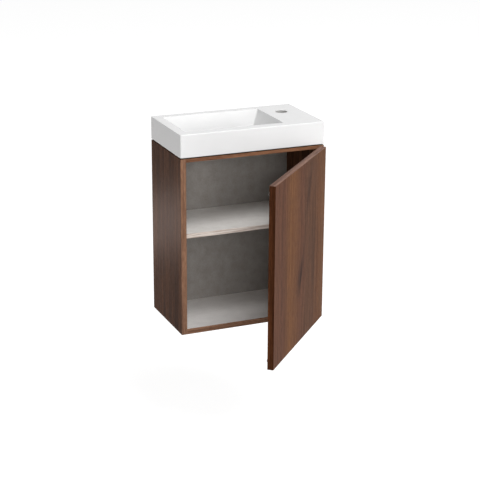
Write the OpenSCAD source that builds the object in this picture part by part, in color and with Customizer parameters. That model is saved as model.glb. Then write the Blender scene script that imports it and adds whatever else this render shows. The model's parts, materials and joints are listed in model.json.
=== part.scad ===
// Wall-hung cloakroom vanity unit: a cast basin with a tap ledge on its right, on a single-door cabinet.
// X runs to the right, Y runs back to the wall, Z runs up. The wall is the plane Y = 0, and the origin
// lies midway between the wall cleat's two screw holes.

/* [Overall] */
// Width of the basin and of the cabinet
unit_w = 400; // [360:5:520]
// Depth of the basin and of the cabinet, without the door
unit_d = 220; // [200:5:280]
// Height of the cabinet
cabinet_h = 475; // [400:5:640]
// Height of the cabinet's top above the wall screws
screw_drop = 44; // [44:1:60]
// How far the door stands open, in degrees
open_angle = 46.5; // [0:0.5:95]

/* [Boards] */
// Thickness of the side panels
side_t = 15; // [12:1:19]
// Thickness of the floor board
floor_t = 15; // [12:1:19]
// Thickness of the front rail, which lies flat under the basin
front_rail_t = 9; // [9:1:16]
// Width of the front rail
front_rail_w = 60; // [40:5:80]
// Thickness of the hanging rail behind the back panel
hanging_rail_t = 12; // [10:1:12]
// Height of the hanging rail
hanging_rail_h = 62; // [60:1:90]
// Thickness of the back panel
back_t = 3; // [2.5:0.5:5]
// Space behind the back panel
back_recess = 19; // [19:1:26]
// Depth of the groove that holds the back panel
groove_depth = 5; // [3:0.5:7]
// Play of the back panel in its groove
groove_play = 0.2; // [0.1:0.05:0.5]
// Thickness of the edging strips
edging_t = 0.8; // [0.4:0.1:2]

/* [Dowels] */
// Diameter of the floor's dowels
floor_dowel_d = 8; // [6:1:8]
// Diameter of the rails' dowels
rail_dowel_d = 6; // [4:1:6]
// Length of a dowel
dowel_l = 30; // [20:1:32]
// Length of a dowel inside the side panel
dowel_in_side = 9; // [6:0.5:10]
// Glue gap round a dowel and at its ends
glue_gap = 0.1; // [0.05:0.05:0.5]
// Distance of the first and last floor dowel from the front and the wall
floor_dowel_inset = 40; // [30:1:60]
// Distance of a rail's dowels from the rail's edges
rail_dowel_inset = 15; // [12:1:18]

/* [Shelf] */
// Thickness of the shelf
shelf_t = 12; // [10:1:19]
// Distance of the shelf's top below the cabinet's top
shelf_drop = 200; // [150:5:260]
// How far the shelf's front lies behind the cabinet's front
shelf_setback = 4; // [3:1:20]
// Gap between the shelf and each side panel
shelf_gap = 1; // [0.5:0.1:2]
// Gap between the shelf and the back panel
shelf_back_gap = 0.5; // [0.3:0.1:3]
// Diameter of a shelf pin
pin_d = 5; // [4:0.5:7]
// Depth of a shelf pin in the side panel
pin_in_side = 8; // [6:0.5:10]
// Length of a shelf pin under the shelf
pin_under_shelf = 8; // [6:0.5:12]
// Diameter of a shelf pin's collar
pin_collar_d = 8; // [7:0.5:10]
// Thickness of a shelf pin's collar
pin_collar_t = 0.8; // [0.4:0.1:0.9]
// Distance of the shelf pins from the shelf's front and back
pin_inset = 32; // [20:1:50]
// Play of a shelf pin in its hole
pin_play = 0.05; // [0.02:0.01:0.2]

/* [Basin] */
// Height of the basin's outside
basin_h = 60; // [58:1:90]
// Thickness of the sealant bead under the basin
seal_t = 3; // [0.5:0.5:3]
// Width of the sealant bead
seal_w = 5; // [3:0.5:7]
// How far the sealant bead lies inside the cabinet's outline
seal_inset = 4; // [2:0.5:5]
// Width of the rim on the left of the bowl
rim_left = 24; // [18:1:40]
// Width of the rim behind the bowl
rim_back = 22; // [18:1:40]
// Width of the rim in front of the bowl
rim_front = 28; // [18:1:40]
// Width of the tap ledge on the right of the bowl
ledge_w = 104; // [80:1:130]
// Depth of the bowl
bowl_depth = 46; // [40:1:50]
// Corner radius of the bowl's rim
bowl_corner_r = 4; // [3:1:12]
// How far the bowl's right wall leans in on its way down
lean_right = 16; // [10:1:24]
// How far the other three walls lean in
lean_other = 9; // [6:1:14]
// Width and height of the cove where a wall meets the bowl's floor
floor_cove = 9; // [4:1:12]
// Thickness of the basin's outer walls and of the bowl's walls
shell_t = 9; // [6:0.5:11]
// Thickness of the tap ledge
ledge_t = 14; // [10:1:20]
// Radius of the basin's upright corners
basin_corner_r = 4; // [2:0.5:8]
// Radius of the basin's top edges
basin_edge_r = 2; // [1:0.5:4]
// Diameter of the tap hole
tap_hole_d = 32; // [28:1:36]
// Distance of the tap hole from the wall
tap_from_wall = 75; // [60:1:120]
// Distance of the tap hole from the basin's right side
tap_from_side = 58; // [40:1:60]
// Diameter of the waste hole
waste_hole_d = 45; // [40:1:48]
// Diameter of the round seat for the waste's flange
waste_seat_d = 66; // [60:1:74]
// Depth of that seat
waste_seat_depth = 2; // [1:0.5:3]

/* [Door] */
// Thickness of the door
door_t = 16; // [16:0.5:22]
// How far the door stops short of the cabinet's side on each side
door_side_gap = 2; // [1:0.5:4]
// Gap between the door and the basin above it
door_top_gap = 5; // [3:0.5:8]
// Gap between the closed door and the cabinet's front
door_gap = 3; // [3:0.1:4]
// Diameter of the buffers on the inside of the door
buffer_d = 8; // [6:1:10]
// Gap between a buffer and the cabinet when the door is shut
buffer_play = 0.3; // [0.1:0.1:1]
// Distance of the buffers from the door's top and bottom
buffer_inset = 22; // [10:1:60]

/* [Hinges] */
// Distance of the hinges from the door's top and bottom
hinge_inset = 85; // [70:1:140]
// Diameter of the cup
cup_d = 35; // [35:0.5:38]
// Depth of the cup
cup_depth = 12.8; // [12.8:0.1:13.5]
// Distance of the cup from the door's edge
cup_edge = 3; // [3:0.1:3.5]
// Play of the cup in the door
cup_play = 0.1; // [0.05:0.05:0.3]
// Thickness of the cup's wall
cup_wall = 1; // [0.6:0.1:1]
// Thickness of the cup's bottom
cup_bottom_t = 0.7; // [0.5:0.1:0.8]
// Width of metal round the screw heads on cups and plates
ear_margin = 2.5; // [1.5:0.25:3]
// Reach of the cup's slot from the cup's middle, away from the door's edge
cup_slot_reach = 13; // [8:0.5:14]
// Width of the slot in the cup that the arm turns in
cup_slot_w = 12; // [11:0.5:13]
// Thickness of the cup's flange
flange_t = 1.2; // [0.8:0.1:1.4]
// Diameter of the hinge pin
hinge_pin_d = 2.2; // [1.8:0.1:2.4]
// Length of the hinge pin
hinge_pin_l = 18; // [17:0.5:18]
// Running clearance between the hinge pin and the arm's eye, on the radius
pin_clearance = 0.05; // [0.02:0.01:0.1]
// Distance of the hinge pin from the door's edge
pin_from_edge = 7; // [6.9:0.1:7.5]
// Depth of the hinge pin below the door's inner face
pin_depth = 9.6; // [9.3:0.1:9.9]
// Wall of the arm's eye
eye_wall = 1.1; // [0.8:0.1:1.2]
// Width of the arm's hook
hook_w = 8; // [6:0.5:9]
// Thickness of the arm's steel
arm_t = 2.4; // [2:0.1:2.6]
// Distance from the hinge pin to the inner side of the arm's hook
hook_reach = 11.2; // [11:0.1:11.6]
// Distance between the cabinet's front and the start of the arm's channel
arm_setback = 2; // [1.5:0.1:4]
// Length of the arm inside the cabinet, from the cabinet's front
arm_l = 58; // [50:1:70]
// Width of the arm inside the cabinet
arm_w = 12.4; // [11:0.2:16]
// Thickness of the arm's two side walls
arm_wall_t = 1.2; // [0.8:0.1:1.5]
// Height of the arm's two side walls
arm_flange_h = 3; // [1:0.2:4]
// Distance of the adjusting screws from the cabinet's front
adjusting_screw_line = 14; // [9:0.5:22]
// Distance of the fixing screws from the arm's rear end
fixing_screw_inset = 8; // [6:0.5:9]
// Thickness of the mounting plates' cross plate
wing_t = 2; // [1.5:0.1:2]
// Play between the arm and the mounting plate
plate_play = 0.3; // [0.2:0.1:0.5]
// Distance of the mounting plate's screws from the cabinet's front
plate_screw_line = 37; // [37:1:42]
// Distance between the two screws of a mounting plate
plate_screw_pitch = 32; // [28:1:40]
// Diameter of the plate screws and cup screws
wood_screw_d = 3.5; // [3:0.1:4]
// Length of those screws
wood_screw_l = 11; // [8:0.5:11]
// Diameter of their heads
wood_head_d = 7; // [5.5:0.5:8]
// Height of their heads
wood_head_h = 1.6; // [1:0.1:2]
// Distance between the two screws of a cup
cup_screw_pitch = 48; // [46:1:52]
// Distance by which the cup's screws lie further from the door's edge than the cup's middle
cup_screw_offset = 6; // [4:0.5:9]
// Diameter of the adjusting screws
adjuster_d = 5; // [4:0.5:5]
// Width of the fixing screws' heads beyond their shafts
fixing_head_margin = 1.5; // [1:0.25:2]
// Thickness of the closing spring
spring_t = 0.5; // [0.3:0.1:0.6]
// Play of the closing spring in its slot
spring_play = 1; // [0.5:0.1:1.5]

/* [Wall cleat] */
// Length of the wall cleat and of the cabinet's cleat
cleat_l = 300; // [260:5:320]
// Thickness of the cleats' metal
cleat_t = 2; // [1.5:0.1:2.2]
// Height of the cleats' overlap
cleat_overlap = 14; // [10:0.5:14]
// Clearance between the two cleats
cleat_play = 0.3; // [0.2:0.1:0.5]
// Height of the wall cleat's ledge above its screw line
cleat_rise = 8; // [7:0.5:10]
// Reach of the wall cleat below its screw line
cleat_fall = 12; // [8:0.5:16]
// Gap between the cabinet cleat's top and the cabinet's top
cleat_top_gap = 1; // [0.5:0.1:1.5]
// Distance between the two wall screws
wall_screw_span = 240; // [180:5:240]
// Diameter of the holes for the wall screws
wall_hole_d = 6; // [5:0.5:7]
// Distance between the outer screws that hold the cabinet's cleat
cleat_screw_span = 240; // [180:5:250]

/* [Hidden] */
$fn = 48;
// Overshoot of a cut past the face that it opens
cut = 1;
// How far two shapes of one piece reach into each other
overlap = 1;
// Thickness of one level of the bowl's form
level_t = 0.01;
// Cross recess of a screw: span and width as shares of the head's diameter, depth of the head's height
recess_span = 0.56;
recess_w = 0.12;
recess_depth = 0.6;

// Cabinet
half_w = unit_w / 2;
inner_x = half_w - side_t;
front_y = -unit_d;
cab_top = screw_drop;
cab_bottom = cab_top - cabinet_h;
floor_top = cab_bottom + floor_t;
back_rear_y = -back_recess;
back_front_y = back_rear_y - back_t;
shelf_top = cab_top - shelf_drop;
shelf_bottom = shelf_top - shelf_t;
shelf_front_y = front_y + shelf_setback;
shelf_rear_y = back_front_y - shelf_back_gap;
pin_z = shelf_bottom - pin_d / 2;
pin_ys = [shelf_front_y + pin_inset, shelf_rear_y - pin_inset];
front_rail_mid_z = cab_top - front_rail_t / 2;
front_rail_rear_y = front_y + front_rail_w;
hanging_rail_bottom = cab_top - hanging_rail_h;
hanging_rail_rear_y = back_rear_y + hanging_rail_t;
floor_dowel_ys = [front_y + floor_dowel_inset, front_y / 2, -floor_dowel_inset];
front_rail_dowel_ys = [front_y + rail_dowel_inset, front_rail_rear_y - rail_dowel_inset];
hanging_rail_dowel_zs = [hanging_rail_bottom + rail_dowel_inset, cab_top - rail_dowel_inset];

// Basin
basin_bottom = cab_top + seal_t;
basin_top = basin_bottom + basin_h;
bowl_left = -half_w + rim_left;
bowl_right = half_w - ledge_w;
bowl_front = front_y + rim_front;
bowl_back = -rim_back;
bowl_floor = basin_top - bowl_depth;
tap_pos = [half_w - tap_from_side, -tap_from_wall];
waste_pos = [(bowl_left + lean_other + bowl_right - lean_right) / 2, (bowl_front + bowl_back) / 2];

// Door in its closed place
door_edge_x = half_w - door_side_gap;
door_in_y = front_y - door_gap;
door_out_y = door_in_y - door_t;
door_top = basin_bottom - door_top_gap;
door_bottom = cab_bottom;
hinge_zs = [door_top - hinge_inset, door_bottom + hinge_inset];
buffer_h = door_gap - buffer_play;
buffer_zs = [door_top - buffer_inset, door_bottom + buffer_inset];

// Hinges in their closed place
pin_axis = [door_edge_x - pin_from_edge, door_in_y - pin_depth];
cup_x = door_edge_x - cup_edge - cup_d / 2;
slot_r = cup_d / 2 - cup_wall;
slot_left_x = cup_x - cup_slot_reach;
slot_depth = cup_depth - cup_bottom_t;
eye_r = hinge_pin_d / 2 + pin_clearance + eye_wall;
hook_right_x = pin_axis[0] - hook_reach;
hook_left_x = hook_right_x - arm_t;
plate_face_x = hook_right_x;
plate_t = inner_x - plate_face_x;
plate_screw_y = front_y + plate_screw_line;
arm_front_y = front_y + arm_setback;
arm_rear_y = front_y + arm_l;
plate_body_w = arm_w - 2 * (arm_wall_t + plate_play);
fixing_screw_y = arm_rear_y - fixing_screw_inset;
adjusting_screw_y = front_y + adjusting_screw_line;
cup_screw_x = cup_x - cup_screw_offset;
ear_r = wood_head_d / 2 + ear_margin;

// Cleats
cleat_base_z = -cleat_fall;
wall_tongue_y = -(2 * cleat_t + 2 * cleat_play);
ledge_z = cleat_rise + cleat_t;
tongue_top_z = ledge_z + cleat_overlap;
cabinet_web_z = tongue_top_z;
cabinet_cleat_top = cab_top - cleat_top_gap;
cleat_screw_z = (cabinet_web_z + cleat_t + cabinet_cleat_top) / 2;
cleat_screw_xs = [-cleat_screw_span / 2, -cleat_screw_span / 6, cleat_screw_span / 6, cleat_screw_span / 2];

// A block between two opposite corners
module block(low, high) {
    translate(low)
        cube(high - low);
}

// A cylinder along X that starts at a point and runs towards +X
module rod_x(start, length, diameter) {
    translate(start)
        rotate([0, 90, 0])
            cylinder(h = length, d = diameter);
}

// A cylinder along Y that starts at a point and runs towards +Y
module rod_y(start, length, diameter) {
    translate(start)
        rotate([-90, 0, 0])
            cylinder(h = length, d = diameter);
}

// A shape and its copy on the other side of the middle
module both_sides() {
    children();
    mirror([1, 0, 0])
        children();
}

// The door and what is on it, turned from the closed place to the opened one
module on_open_door() {
    translate(pin_axis)
        rotate(open_angle)
            translate(-pin_axis)
                children();
}

// A row of dowels, or with no gap the holes that they stand in
module dowel_row(points, diameter, gap) {
    for (p = points)
        rod_x([inner_x + dowel_in_side - dowel_l + gap, p[0], p[1]], dowel_l - 2 * gap, diameter - 2 * gap);
}

module right_dowels(gap) {
    dowel_row([for (y = floor_dowel_ys) [y, cab_bottom + floor_t / 2]], floor_dowel_d, gap);
    dowel_row([for (y = front_rail_dowel_ys) [y, front_rail_mid_z]], rail_dowel_d, gap);
    dowel_row([for (z = hanging_rail_dowel_zs) [back_rear_y + hanging_rail_t / 2, z]], rail_dowel_d, gap);
}

module shelf_pin_holes() {
    for (y = pin_ys)
        rod_x([inner_x - cut, y, pin_z], cut + pin_in_side + pin_play, pin_d + 2 * pin_play);
}

module plate_screw_holes() {
    for (z = hinge_zs, side = [-1, 1])
        rod_x([inner_x - cut, plate_screw_y, z + side * plate_screw_pitch / 2], cut + wood_screw_l,
            wood_screw_d);
}

// Groove for the back panel in the right side panel
module side_groove() {
    block([inner_x - cut, back_front_y - groove_play / 2, floor_top - groove_depth],
        [inner_x + groove_depth, back_rear_y + groove_play / 2, cab_top + cut]);
}

module side_board() {
    difference() {
        block([inner_x, front_y + edging_t, cab_bottom], [half_w, 0, cab_top]);
        side_groove();
        right_dowels(0);
        shelf_pin_holes();
        children();
    }
}

module right_side() {
    color("#5f4234")
        side_board()
            plate_screw_holes();
}

module left_side() {
    color("#5f4234")
        mirror([1, 0, 0])
            side_board();
}

module floor_board() {
    color("#b9b7b4")
        difference() {
            block([-inner_x, front_y + edging_t, cab_bottom], [inner_x, 0, floor_top]);
            block([-inner_x - cut, back_front_y - groove_play / 2, floor_top - groove_depth],
                [inner_x + cut, back_rear_y + groove_play / 2, floor_top + cut]);
            both_sides()
                right_dowels(0);
        }
}

module front_rail() {
    color("#5f4234")
        difference() {
            block([-inner_x, front_y + edging_t, cab_top - front_rail_t],
                [inner_x, front_rail_rear_y, cab_top]);
            both_sides()
                right_dowels(0);
        }
}

module hanging_rail() {
    color("#8a8580")
        difference() {
            block([-inner_x, back_rear_y, hanging_rail_bottom], [inner_x, hanging_rail_rear_y, cab_top]);
            both_sides()
                right_dowels(0);
            for (x = cleat_screw_xs)
                rod_y([x, hanging_rail_rear_y + cleat_t - wood_screw_l, cleat_screw_z], wood_screw_l,
                    wood_screw_d);
        }
}

module back_panel() {
    reach = groove_depth - groove_play;
    color("#5c5854")
        block([-inner_x - reach, back_front_y, floor_top - reach], [inner_x + reach, back_rear_y, cab_top]);
}

// Strips on the front edges of the two sides, the floor and the front rail
module cabinet_edging() {
    color("#80594a") {
        both_sides()
            block([inner_x, front_y, cab_bottom], [half_w, front_y + edging_t, cab_top]);
        block([-inner_x, front_y, cab_bottom], [inner_x, front_y + edging_t, floor_top]);
        block([-inner_x, front_y, cab_top - front_rail_t], [inner_x, front_y + edging_t, cab_top]);
    }
}

module dowels() {
    color("#c9a877")
        both_sides()
            right_dowels(glue_gap);
}

module shelf() {
    color("#cfccc8")
        block([-inner_x + shelf_gap, shelf_front_y + edging_t, shelf_bottom],
            [inner_x - shelf_gap, shelf_rear_y, shelf_top]);
}

module shelf_edging() {
    color("#bfb1a4")
        block([-inner_x + shelf_gap, shelf_front_y, shelf_bottom],
            [inner_x - shelf_gap, shelf_front_y + edging_t, shelf_top]);
}

// Four pins in the side panels, each with a collar in the gap beside the shelf
module shelf_pins() {
    color("#b8babd")
        both_sides()
            for (y = pin_ys) {
                rod_x([inner_x - pin_under_shelf, y, pin_z], pin_under_shelf + pin_in_side, pin_d);
                rod_x([inner_x - pin_collar_t, y, pin_z], pin_collar_t, pin_collar_d);
            }
}

// One level of the bowl: its outline, drawn in by a share of the walls' lean and by an inset
module bowl_level(share, inset, z, grow) {
    left = bowl_left + lean_other * share + inset - grow;
    right = bowl_right - lean_right * share - inset + grow;
    front = bowl_front + lean_other * share + inset - grow;
    back = bowl_back - lean_other * share - inset + grow;
    r = bowl_corner_r + grow;
    for (x = [left + r, right - r], y = [front + r, back - r])
        translate([x, y, z])
            cylinder(h = level_t, r = r, $fn = 32);
}

// The bowl's hollow, or grown and dropped by the walls' thickness the outside of its walls
module bowl_form(grow, drop, top) {
    hull() {
        bowl_level(0, 0, top, grow);
        bowl_level(0, 0, min(top, basin_top), grow);
        for (a = [0, 22.5, 45, 67.5, 90])
            bowl_level(1 - floor_cove / bowl_depth * (1 - sin(a)), floor_cove * (1 - cos(a)),
                bowl_floor - drop + floor_cove * (1 - sin(a)), grow);
    }
}

// The basin's plan, with its two front corners rounded
module basin_plan() {
    r = basin_corner_r;
    translate([-half_w, front_y + r])
        square([unit_w, unit_d - r]);
    translate([-half_w + r, front_y])
        square([unit_w - 2 * r, 2 * r]);
    for (x = [-half_w + r, half_w - r])
        translate([x, front_y + r])
            circle(r);
}

// The basin from the front, with its two top edges rounded
module basin_front() {
    r = basin_edge_r;
    translate([-half_w, basin_bottom])
        square([unit_w, basin_h - r]);
    translate([-half_w + r, basin_top - 2 * r])
        square([unit_w - 2 * r, 2 * r]);
    for (x = [-half_w + r, half_w - r])
        translate([x, basin_top - r])
            circle(r);
}

// The basin from the side, with its top front edge rounded
module basin_profile() {
    r = basin_edge_r;
    translate([front_y, basin_bottom])
        square([unit_d, basin_h - r]);
    translate([front_y + r, basin_top - 2 * r])
        square([unit_d - r, 2 * r]);
    translate([front_y + r, basin_top - r])
        circle(r);
}

module basin_outside() {
    intersection() {
        translate([0, 0, basin_bottom])
            linear_extrude(basin_h)
                basin_plan();
        translate([0, cut, 0])
            rotate([90, 0, 0])
                linear_extrude(unit_d + 2 * cut)
                    basin_front();
        translate([-half_w - cut, 0, 0])
            rotate([90, 0, 90])
                linear_extrude(unit_w + 2 * cut)
                    basin_profile();
    }
}

// A casting with a skirt all round, open underneath; the bowl's walls hang from its top
module basin() {
    color("#efefec")
        difference() {
            union() {
                difference() {
                    basin_outside();
                    block([-half_w + shell_t, front_y + shell_t, basin_bottom - cut],
                        [half_w - shell_t, -shell_t, basin_top - ledge_t]);
                }
                bowl_form(shell_t, shell_t, basin_top - ledge_t / 2);
            }
            bowl_form(0, 0, basin_top + cut);
            translate([tap_pos[0], tap_pos[1], basin_bottom])
                cylinder(h = basin_h + cut, d = tap_hole_d);
            translate([waste_pos[0], waste_pos[1], basin_bottom])
                cylinder(h = basin_h, d = waste_hole_d);
            translate([waste_pos[0], waste_pos[1], bowl_floor - waste_seat_depth])
                cylinder(h = waste_seat_depth + cut, d = waste_seat_d);
        }
}

// Along the front and the two sides, between the cabinet's top and the basin's skirt
module sealant_bead() {
    outer_x = half_w - seal_inset;
    outer_y = front_y + seal_inset;
    color("#3f342c") {
        both_sides()
            block([outer_x - seal_w, outer_y, cab_top], [outer_x, -seal_inset, basin_bottom]);
        block([-outer_x + seal_w, outer_y, cab_top], [outer_x - seal_w, outer_y + seal_w, basin_bottom]);
    }
}

// Hooked over the wall cleat and screwed to the back of the hanging rail
module cabinet_cleat() {
    end = cleat_l / 2;
    rear = hanging_rail_rear_y;
    color("#aeb2b5")
        difference() {
            union() {
                block([-end, rear, cabinet_web_z], [end, rear + cleat_t, cabinet_cleat_top]);
                block([-end, rear, cabinet_web_z], [end, -cleat_play, cabinet_web_z + cleat_t]);
                block([-end, -cleat_play - cleat_t, ledge_z + cleat_play],
                    [end, -cleat_play, cabinet_web_z + cleat_t]);
            }
            for (x = cleat_screw_xs)
                rod_y([x, rear - cut, cleat_screw_z], cleat_t + 2 * cut, wood_screw_d);
        }
}

// Screwed flat to the wall, with a tongue that stands off it
module wall_cleat() {
    end = cleat_l / 2;
    color("#aeb2b5")
        difference() {
            union() {
                block([-end, -cleat_t, cleat_base_z], [end, 0, ledge_z]);
                block([-end, wall_tongue_y, cleat_rise], [end, 0, ledge_z]);
                block([-end, wall_tongue_y, cleat_rise], [end, wall_tongue_y + cleat_t, tongue_top_z]);
            }
            for (x = [-wall_screw_span / 2, wall_screw_span / 2])
                rod_y([x, -cleat_t - cut, 0], cleat_t + 2 * cut, wall_hole_d);
        }
}

// A screw that points along +Z from under its head, with a cross recess
module screw(length, shaft_d, head_d, head_h) {
    difference() {
        union() {
            cylinder(h = length, d = shaft_d);
            translate([0, 0, -head_h])
                cylinder(h = head_h, d = head_d);
        }
        for (turn = [0, 90])
            rotate(turn)
                translate([-head_d * recess_span / 2, -head_d * recess_w / 2, -head_h - cut])
                    cube([head_d * recess_span, head_d * recess_w, cut + head_h * recess_depth]);
    }
}

module cleat_screws() {
    color("#c3c6c8")
        for (x = cleat_screw_xs)
            translate([x, hanging_rail_rear_y + cleat_t, cleat_screw_z])
                rotate([90, 0, 0])
                    screw(wood_screw_l, wood_screw_d, wood_head_d, wood_head_h);
}

module door() {
    color("#704d3c")
        on_open_door()
            difference() {
                block([-door_edge_x + edging_t, door_out_y, door_bottom + edging_t],
                    [door_edge_x - edging_t, door_in_y, door_top - edging_t]);
                for (z = hinge_zs) {
                    rod_y([cup_x, door_in_y - cup_depth - cup_play, z], cup_depth + cup_play + cut,
                        cup_d + 2 * cup_play);
                    for (side = [-1, 1])
                        rod_y([cup_screw_x, door_in_y + flange_t - wood_screw_l,
                            z + side * cup_screw_pitch / 2], wood_screw_l, wood_screw_d);
                }
            }
}

// A strip round the four edges of the door
module door_edging() {
    color("#8c6e5f")
        on_open_door()
            difference() {
                block([-door_edge_x, door_out_y, door_bottom], [door_edge_x, door_in_y, door_top]);
                block([-door_edge_x + edging_t, door_out_y - cut, door_bottom + edging_t],
                    [door_edge_x - edging_t, door_in_y + cut, door_top - edging_t]);
            }
}

module door_buffers() {
    color("#dfe3e4")
        on_open_door()
            for (z = buffer_zs)
                rod_y([-half_w + side_t / 2, door_in_y, z], buffer_h, buffer_d);
}

// A cup sunk in the door, with a flange on the door's face and a slot that the arm turns in
module hinge_cup(z) {
    color("#b2b5b8")
        on_open_door()
            difference() {
                union() {
                    rod_y([cup_x, door_in_y - cup_depth, z], cup_depth + flange_t, cup_d);
                    rod_y([cup_x, door_in_y, z], flange_t, cup_d + 2 * cup_wall);
                    block([cup_screw_x - ear_r, door_in_y, z - cup_screw_pitch / 2],
                        [cup_screw_x + ear_r, door_in_y + flange_t, z + cup_screw_pitch / 2]);
                    for (side = [-1, 1])
                        rod_y([cup_screw_x, door_in_y, z + side * cup_screw_pitch / 2], flange_t, 2 * ear_r);
                }
                intersection() {
                    rod_y([cup_x, door_in_y - slot_depth, z], slot_depth + flange_t + cut, 2 * slot_r);
                    block([slot_left_x, door_in_y - slot_depth - cut, z - cup_slot_w / 2],
                        [cup_x + cup_d, door_in_y + flange_t + 2 * cut, z + cup_slot_w / 2]);
                }
                block([cup_x, door_in_y, z - cup_slot_w / 2],
                    [cup_x + cup_d, door_in_y + flange_t + cut, z + cup_slot_w / 2]);
                translate([pin_axis[0], pin_axis[1], z - hinge_pin_l / 2])
                    cylinder(h = hinge_pin_l, d = hinge_pin_d);
                for (side = [-1, 1])
                    rod_y([cup_screw_x, door_in_y - cut, z + side * cup_screw_pitch / 2], flange_t + 2 * cut,
                        wood_screw_d);
            }
}

module upper_hinge_cup() {
    hinge_cup(hinge_zs[0]);
}

module lower_hinge_cup() {
    hinge_cup(hinge_zs[1]);
}

module hinge_pins() {
    color("#cfd1d3")
        for (z = hinge_zs)
            translate([pin_axis[0], pin_axis[1], z - hinge_pin_l / 2])
                cylinder(h = hinge_pin_l, d = hinge_pin_d);
}

// A flat spring on the floor of each cup, under the arm
module closing_springs() {
    color("#8f9295")
        on_open_door()
            for (z = hinge_zs)
                block([slot_left_x + spring_play, door_in_y - slot_depth, z - cup_slot_w / 2 + spring_play],
                    [pin_axis[0] - eye_r - spring_play, door_in_y - slot_depth + spring_t,
                        z + cup_slot_w / 2 - spring_play]);
}

module cup_screws() {
    color("#c3c6c8")
        on_open_door()
            for (z = hinge_zs, side = [-1, 1])
                translate([cup_screw_x, door_in_y + flange_t, z + side * cup_screw_pitch / 2])
                    rotate([90, 0, 0])
                        screw(wood_screw_l, wood_screw_d, wood_head_d, wood_head_h);
}

// The arm's hook from above: the eye on the hinge pin, a bent corner, and a straight way out of the cup
module hook_outline() {
    corner_y = pin_axis[1] + arm_t / 2;
    translate(pin_axis)
        circle(eye_r);
    translate([hook_right_x, pin_axis[1] - arm_t / 2])
        square([hook_reach, arm_t]);
    translate([hook_left_x, corner_y])
        square([arm_t, arm_front_y - corner_y + overlap]);
    intersection() {
        translate([hook_right_x, corner_y])
            circle(arm_t);
        translate([hook_left_x, corner_y - arm_t])
            square(arm_t);
    }
}

// A steel arm: its hook reaches into the cup, and its channel straddles the mounting plate
module hinge_arm(z) {
    color("#b8babd")
        difference() {
            union() {
                translate([0, 0, z - hook_w / 2])
                    linear_extrude(hook_w)
                        hook_outline();
                block([hook_left_x, arm_front_y, z - arm_w / 2], [hook_right_x, arm_rear_y, z + arm_w / 2]);
                for (edge = [z - arm_w / 2, z + arm_w / 2 - arm_wall_t])
                    block([hook_right_x, arm_front_y, edge],
                        [hook_right_x + arm_flange_h, arm_rear_y, edge + arm_wall_t]);
            }
            translate([pin_axis[0], pin_axis[1], z - hook_w / 2 - cut])
                cylinder(h = hook_w + 2 * cut, r = hinge_pin_d / 2 + pin_clearance);
            rod_x([hook_left_x - cut, adjusting_screw_y, z], arm_t + 2 * cut, adjuster_d);
            rod_x([hook_left_x - cut, fixing_screw_y, z], arm_t + 2 * cut, adjuster_d);
        }
}

module upper_hinge_arm() {
    hinge_arm(hinge_zs[0]);
}

module lower_hinge_arm() {
    hinge_arm(hinge_zs[1]);
}

// A raised bar under the arm, on a cross plate that is screwed to the side panel
module mounting_plate(z) {
    color("#a4a7aa")
        difference() {
            union() {
                block([plate_face_x, arm_front_y + plate_play, z - plate_body_w / 2],
                    [inner_x, arm_rear_y, z + plate_body_w / 2]);
                block([inner_x - wing_t, plate_screw_y - ear_r, z - plate_screw_pitch / 2],
                    [inner_x, plate_screw_y + ear_r, z + plate_screw_pitch / 2]);
                for (side = [-1, 1])
                    rod_x([inner_x - wing_t, plate_screw_y, z + side * plate_screw_pitch / 2], wing_t,
                        2 * ear_r);
            }
            for (side = [-1, 1])
                rod_x([inner_x - wing_t - cut, plate_screw_y, z + side * plate_screw_pitch / 2],
                    wing_t + 2 * cut, wood_screw_d);
            rod_x([plate_face_x - cut, fixing_screw_y, z], cut + plate_t - arm_wall_t, adjuster_d);
        }
}

module upper_mounting_plate() {
    mounting_plate(hinge_zs[0]);
}

module lower_mounting_plate() {
    mounting_plate(hinge_zs[1]);
}

module plate_screws() {
    color("#c3c6c8")
        for (z = hinge_zs, side = [-1, 1])
            translate([inner_x - wing_t, plate_screw_y, z + side * plate_screw_pitch / 2])
                rotate([0, 90, 0])
                    screw(wood_screw_l, wood_screw_d, wood_head_d, wood_head_h);
}

// These clamp the arms on their mounting plates
module fixing_screws() {
    color("#c3c6c8")
        for (z = hinge_zs)
            translate([hook_left_x, fixing_screw_y, z])
                rotate([0, 90, 0])
                    screw(arm_t + plate_t - arm_wall_t, adjuster_d, adjuster_d + 2 * fixing_head_margin,
                        wood_head_h);
}

// These bear on the mounting plates and set the door sideways
module adjusting_screws() {
    color("#c3c6c8")
        for (z = hinge_zs)
            translate([hook_left_x, adjusting_screw_y, z])
                rotate([0, 90, 0])
                    screw(arm_t, adjuster_d, adjuster_d, wood_head_h / 2);
}

basin();
sealant_bead();
left_side();
right_side();
floor_board();
front_rail();
hanging_rail();
back_panel();
cabinet_edging();
dowels();
shelf();
shelf_edging();
shelf_pins();
cabinet_cleat();
wall_cleat();
cleat_screws();
door();
door_edging();
door_buffers();
upper_hinge_cup();
lower_hinge_cup();
hinge_pins();
closing_springs();
cup_screws();
upper_hinge_arm();
lower_hinge_arm();
upper_mounting_plate();
lower_mounting_plate();
plate_screws();
fixing_screws();
adjusting_screws();
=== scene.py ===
import json
import math

import bmesh
import bpy
from mathutils import Matrix, Vector


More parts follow.
